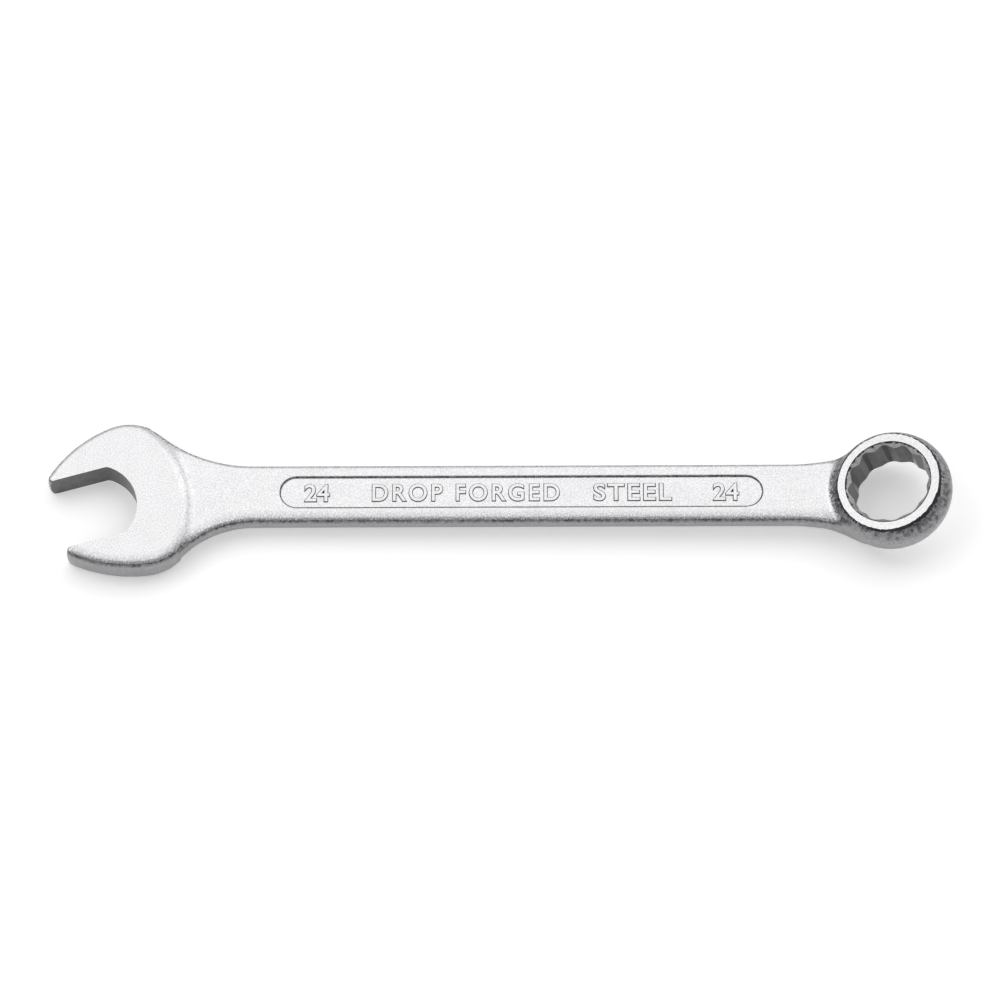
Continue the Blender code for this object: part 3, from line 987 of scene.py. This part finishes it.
def lead_in_chrome():
    """Rough steel, with a ragged line of painted shade where the cone meets the ground face."""
    material, tree, shader = metal("lead_in_chrome")
    coords = tree.nodes.new("ShaderNodeTexCoord")
    along = tree.nodes.new("ShaderNodeVectorMath")
    along.operation = "DOT_PRODUCT"
    along.inputs[1].default_value = RING_AXIS
    tree.links.new(coords.outputs["Object"], along.inputs[0])
    level = combined(tree, "SUBTRACT", along.outputs["Value"], RING_MIDDLE.dot(RING_AXIS))
    jitter = spread(tree, noise(tree, 900.0, 3.0, 0.6), 0.3, 0.7, -0.4 * MM, 0.4 * MM)
    ragged = combined(tree, "ADD", combined(tree, "ABSOLUTE", level, 0.0), jitter)
    # Painted shade: the band at the lead-in's upper edge that takes the dark tone.
    top = spread(tree, ragged, (RING_HALF - 0.5) * MM, (RING_HALF - 0.25) * MM)
    cloud = noise(tree, 700.0, 3.0, 0.6)
    body = blend(tree, spread(tree, cloud, 0.3, 0.7), *LEAD_IN_TONES)
    tree.links.new(blend(tree, top, body, LEAD_IN_SHADE_LINE), shader.inputs["Base Color"])
    shader.inputs["Roughness"].default_value = 0.55
    tree.links.new(bump(tree, cloud, 0.5, 0.06), shader.inputs["Normal"])
    return material


# %% The slopes of the raised characters, painted dark as shade
# Painted shade: the characters' slopes are painted dark, as a shade line round each character.
SLOPE_SHADE_TONES = (0.1, 0.1, 0.105), (0.28, 0.28, 0.285)


def slope_shade_chrome():
    material, tree, shader = metal("slope_shade_chrome")
    grain = noise(tree, 2400.0, 3.0, 0.55)
    share = spread(tree, grain, 0.3, 0.65)
    tree.links.new(blend(tree, share, *SLOPE_SHADE_TONES), shader.inputs["Base Color"])
    shader.inputs["Roughness"].default_value = 0.36
    tree.links.new(bump(tree, grain, 0.5, 0.03), shader.inputs["Normal"])
    return material


# %% [markdown]
# ## Dressing the faces
# A face is told by its place and by the way it looks: how far it lies from the ring's axis, at what
# height, and how square it is to that axis. A dark line of painted shadow is laid round the annulus, wider
# on one side and ragged all round.

# %% Which face wears which finish
JAW_MIDDLE = Vector((*JAW_CENTRE, 0)) * MM + TO_PART
RING_REACH = 0.02  # metres; nothing of the ring lies further from its middle along the shank
# Painted shadow: the dark line round the annulus is widest towards the side given below.
LINE_REACH = 1.2  # how far outside the annulus its dark line may lie
LINE, LINE_LEAN, LINE_RAGGED = 0.35, 0.7, 0.5  # its width, what one side adds, and its raggedness
SHADE_LINE_SIDE = Vector((0.8, -0.6, 0))
LINE_NOISE = 1200
SAME_WAY = 0.995  # cosine from which two directions count as one


def ring_finish(face):
    """1 for the ground annulus, 2 for a socket wall, 3 for the lead-in, 4 for a relieved corner and for
    the dark line round the annulus, both painted shade.
    """
    arm = face.center - RING_MIDDLE
    level = arm.dot(RING_AXIS)
    out = arm - level * RING_AXIS
    square = abs(face.normal.dot(RING_AXIS))
    if out.length > (RING_FACE + LINE_REACH) * MM:
        return 0
    if square > SAME_WAY and abs(abs(level / MM) - RING_HALF) < 0.05:
        return 1
    if out.length > (LEAD_IN + 0.1) * MM:
        lean = max(0.0, out.normalized().dot(SHADE_LINE_SIDE))
        line = LINE + LINE_LEAN * lean + LINE_RAGGED * speckle(face.center * LINE_NOISE)
        return 4 if RING_HALF - abs(level / MM) < line else 0
    if square > 0.5:
        return 3
    return 4 if abs(face.normal.dot(out.normalized())) > SAME_WAY else 2


def rough_skin(face):
    """True on the barrel, false inside the socket."""
    arm = face.center - RING_MIDDLE
    return (arm - arm.dot(RING_AXIS) * RING_AXIS).length > LEAD_IN * MM


def finish_of(face):
    """0 for the forged skin, 2 for a jaw's wall, or what the ring says."""
    arm = face.center - JAW_MIDDLE
    along = arm.dot(Vector((math.cos(JAW_ANGLE), math.sin(JAW_ANGLE), 0))) / MM
    side = arm.dot(Vector((-math.sin(JAW_ANGLE), math.cos(JAW_ANGLE), 0))) / MM
    if along < THROAT + 0.1 and abs(side) < GAP / 2 + 0.05 and abs(face.normal.z) < 0.1:
        return 2
    return ring_finish(face) if face.center.x > RING_MIDDLE.x - RING_REACH else 0


wrench.data.materials.clear()
# Painted shade: the jaw and socket walls, the relieved corners and the line round the annulus are painted
# dark.
for material in (
    forged_chrome(), ground_chrome(), painted_shade_broached_chrome("painted_shade_broached_chrome", 0.09, 0.15),
    lead_in_chrome(), painted_shade_broached_chrome("relief_and_annulus_shade", 0.03, 0.07),
):
    wrench.data.materials.append(material)
for face in wrench.data.polygons:
    face.material_index = finish_of(face)
    face.use_smooth = face.material_index in (0, 3) or (face.material_index == 4 and rough_skin(face))
change(wrench, "WEIGHTED_NORMAL", keep_sharp=True)
lettering.data.materials.clear()
lettering.data.materials.append(wrench.data.materials[0])
lettering.data.materials.append(slope_shade_chrome())
for face in lettering.data.polygons:
    face.material_index = 0 if face.normal.z > 0.9 else 1
print("finishes:", [sum(f.material_index == i for f in wrench.data.polygons) for i in range(5)])

# %% [markdown]
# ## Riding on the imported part
# The forged piece stands for the CAD node, and both pieces ride on the part's only body.

# %% Ride
for piece in (wrench, lettering):
    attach(piece, "root")
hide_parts("wrench")
print("riding on root:", wrench.name, "and", lettering.name)

# %% [markdown]
# ## Floor, light and camera
# The floor is plain and pale. It is tilted by the two thirds of a degree by which the wrench, lying on its
# ring and on its head, leans. The paper glows a little, so that it stays white up to the soft shadow. One
# large soft light stands behind and above the wrench, so that the flat faces mirror it, and two more
# stand at its sides.

# %% Floor
HEAD_ABOVE, SUPPORT_SPAN = 2.93, 258.0  # the head's height over the ring's lowest point, and how far apart
RING_SUPPORT = (0.111, 0, -0.0001)  # just under the ring's lowest point, in metres
bpy.ops.mesh.primitive_plane_add(size=8.0, location=RING_SUPPORT)
floor = bpy.context.object
floor.name = "floor"
floor.rotation_euler = (0, math.atan2(HEAD_ABOVE, SUPPORT_SPAN), 0)
paper = bpy.data.materials.new("paper")
paper.use_nodes = True
sheet = paper.node_tree.nodes["Principled BSDF"]
sheet.inputs["Base Color"].default_value = (0.93, 0.93, 0.93, 1)
sheet.inputs["Roughness"].default_value = 0.9
sheet.inputs["Emission Color"].default_value = (1, 1, 1, 1)
sheet.inputs["Emission Strength"].default_value = 0.26
floor.data.materials.append(paper)
print("floor tilted by", round(math.degrees(floor.rotation_euler.y), 2), "degrees")


# %% Lights
def softbox(name, place, wide, tall, power):
    """A rectangular light at this place that shines at the wrench."""
    bpy.ops.object.light_add(type="AREA", location=place)
    made = bpy.context.object
    made.name = name
    made.data.shape = "RECTANGLE"
    made.data.size, made.data.size_y = wide, tall
    made.data.energy = power
    made.rotation_euler = (-Vector(place)).to_track_quat("-Z", "Y").to_euler()
    print(name, "light:", power, "W")


softbox("key", (0.0, 0.62, 1.15), 2.2, 1.2, 6.9)
softbox("left", (-1.2, 0.1, 1.2), 1.3, 1.3, 5.0)
softbox("right", (1.25, 1.05, 0.9), 2.2, 1.5, 4.6)
world = bpy.data.worlds.new("studio")
bpy.context.scene.world = world
world.use_nodes = True
world.node_tree.nodes["Background"].inputs["Color"].default_value = (0.55, 0.55, 0.555, 1)

# %% Camera
ELEVATION, AZIMUTH, ROLL = math.radians(66.35), math.radians(0.68), math.radians(-0.82)
DISTANCE = 1.699
LOOK_AT = Vector((-0.033, -0.31, 8.333)) * MM
back = Vector((
    math.sin(AZIMUTH) * math.cos(ELEVATION), -math.cos(AZIMUTH) * math.cos(ELEVATION), math.sin(ELEVATION)
))
right = Vector((math.cos(AZIMUTH), math.sin(AZIMUTH), 0))
up = back.cross(right)
across = math.cos(ROLL) * right + math.sin(ROLL) * up
over = math.cos(ROLL) * up - math.sin(ROLL) * right
camera = bpy.data.objects.new("camera", bpy.data.cameras.new("camera"))
bpy.context.scene.collection.objects.link(camera)
camera.data.lens, camera.data.sensor_width = 186.55, 36.0
turned = Matrix((across, over, back)).transposed().to_4x4()
camera.matrix_world = Matrix.Translation(LOOK_AT + DISTANCE * back) @ turned
bpy.context.scene.camera = camera
bpy.context.scene.view_settings.view_transform = "Standard"
print("camera", round(math.degrees(ELEVATION), 1), "degrees up,", DISTANCE, "m away")
